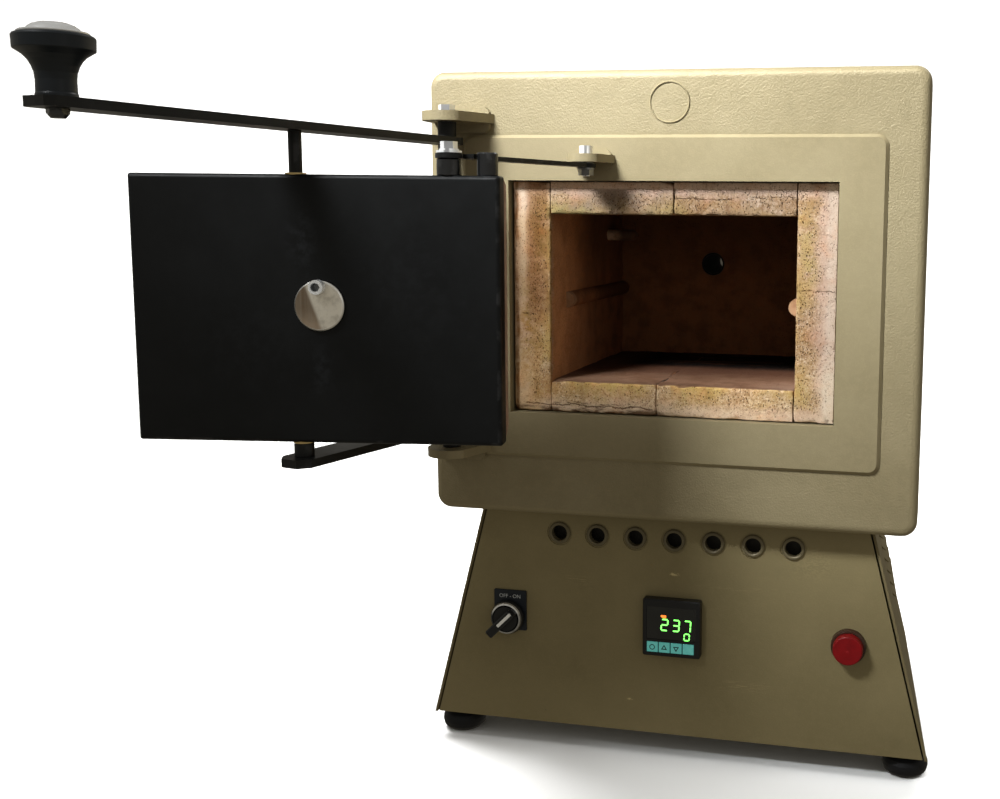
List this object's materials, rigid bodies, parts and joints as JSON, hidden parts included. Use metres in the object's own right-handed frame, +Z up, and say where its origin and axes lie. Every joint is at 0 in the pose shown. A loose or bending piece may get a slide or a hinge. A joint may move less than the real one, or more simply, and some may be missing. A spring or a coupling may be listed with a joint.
{
  "type": "sintering furnace",
  "caption": "Bench-top sintering furnace: cast front frame with a brick muffle on a tapered pedestal, controls below, refractory-backed door open on a two-arm swing linkage.",
  "frame": {"origin": "middle of the four rubber feet, on the bench surface", "axes": "+Z up, +X to the right of someone facing the front, front towards -Y"},
  "size_m": [0.5261, 0.709, 0.5595],
  "materials": {
    "olive_gold_casting": "painted, orange-peel texture",
    "olive_gold_sheet": "satin hammered paint",
    "grey_sheet": "satin paint",
    "bare_steel": "bare",
    "black_steel": "satin black",
    "zinc": "zinc plated",
    "brass_bush": "plain",
    "bakelite": "polished",
    "bright_cap": "polished",
    "firebrick": "rough, stained",
    "refractory_board": "rough",
    "alumina": "matt",
    "fibre": "fibrous",
    "rubber": "moulded",
    "black_plastic": "moulded",
    "eyelet": "satin",
    "window": "polished",
    "keys": "satin",
    "red_lens": "polished",
    "lamp_trim": "polished",
    "alu": "extruded"
  },
  "bodies": {
    "furnace": {"base_floor_plate": "bare_steel", "base_front_panel": "olive_gold_sheet", "base_rear_panel": "grey_sheet", "base_side_panels": "olive_gold_sheet", "base_top_plate": "grey_sheet", "controller_case": "black_plastic", "controller_window": "window", "fibre_lining": "fibre", "flue_collar": "bare_steel", "flue_tube": "bare_steel", "foot_screws": "zinc", "frame_pivot_pins": "zinc", "front_frame": "olive_gold_casting", "fuse_holder": "black_plastic", "heating_rods": "alumina", "housing_shell": "olive_gold_sheet", "lamp_bezel": "lamp_trim", "lamp_body": "black_plastic", "lamp_lens": "red_lens", "link_bolt": "zinc", "link_nut_and_washers": "zinc", "mains_inlet": "black_plastic", "muffle_floor_bricks": "firebrick", "muffle_rear_brick": "firebrick", "muffle_roof_bricks": "firebrick", "muffle_side_bricks": "firebrick", "panel_screws": "zinc", "rear_cover": "grey_sheet", "relay_heatsink": "alu", "rubber_feet": "rubber", "solid_state_relay": "black_plastic", "switch_bezel_ring": "bright_cap", "switch_body": "black_plastic", "switch_legend_plate": "black_plastic", "terminal_block": "black_plastic", "thermocouple_head": "bare_steel", "thermocouple_sheath": "alumina", "vent_eyelets": "eyelet"},
    "swing_arm": {"upper_arm": "black_steel", "lower_arm": "black_steel", "pivot_tube": "black_steel", "door_pivot_rod": "black_steel", "handle_knob": "bakelite", "handle_cap": "bright_cap", "handle_bolt": "zinc"},
    "door": {"door_tray": "black_steel", "door_refractory_plug": "refractory_board", "peephole_tube": "bare_steel", "door_pivot_bushes": "brass_bush", "link_stud": "black_steel", "link_stud_nut_and_washers": "zinc", "stop_buffer": "black_steel", "peephole_screw": "zinc"},
    "link": {"link_bar": "black_steel"},
    "peephole_cover": {"peephole_cover": "bare_steel"},
    "selector": {"switch_lever": "black_plastic"},
    "key_mode": {"controller_key_mode": "keys"},
    "key_up": {"controller_key_up": "keys"},
    "key_down": {"controller_key_down": "keys"},
    "key_set": {"controller_key_set": "keys"}
  },
  "joints": [
    {"name": "arm_swing", "type": "hinge", "parent": "furnace", "child": "swing_arm", "pos_m": [-0.1702, -0.1904, 0.39], "axis": [0, 0, 1], "range_deg": [0, 99]},
    {"name": "door_turn", "type": "hinge", "parent": "swing_arm", "child": "door", "pos_m": [-0.20729, -0.34491, 0.39], "axis": [0, 0, 1], "range_deg": [-109, 0]},
    {"name": "link_turn", "type": "hinge", "parent": "furnace", "child": "link", "pos_m": [-0.0596, -0.1876, 0.4875], "axis": [0, 0, 1], "range_deg": [0, 104]},
    {"name": "peephole_swing", "type": "hinge", "parent": "door", "child": "peephole_cover", "pos_m": [-0.18982, -0.35031, 0.4006], "axis": [0.1582, -0.9874, 0], "range_deg": [-165, 165]},
    {"name": "selector_turn", "type": "hinge", "parent": "furnace", "child": "selector", "pos_m": [-0.141, -0.15, 0.1114], "axis": [0, 1, 0], "range_deg": [-90, 0]},
    {"name": "key_mode_press", "type": "slide", "parent": "furnace", "child": "key_mode", "axis": [0, 1, 0], "range_m": [0, 0.0012], "stiffness_N_per_m": 300},
    {"name": "key_up_press", "type": "slide", "parent": "furnace", "child": "key_up", "axis": [0, 1, 0], "range_m": [0, 0.0012], "stiffness_N_per_m": 300},
    {"name": "key_down_press", "type": "slide", "parent": "furnace", "child": "key_down", "axis": [0, 1, 0], "range_m": [0, 0.0012], "stiffness_N_per_m": 300},
    {"name": "key_set_press", "type": "slide", "parent": "furnace", "child": "key_set", "axis": [0, 1, 0], "range_m": [0, 0.0012], "stiffness_N_per_m": 300}
  ],
  "couplings": [
    {"joint": "door_turn", "follows": "arm_swing", "ratio": -1.0918},
    {"joint": "link_turn", "follows": "arm_swing", "ratio": 1.0422}
  ]
}
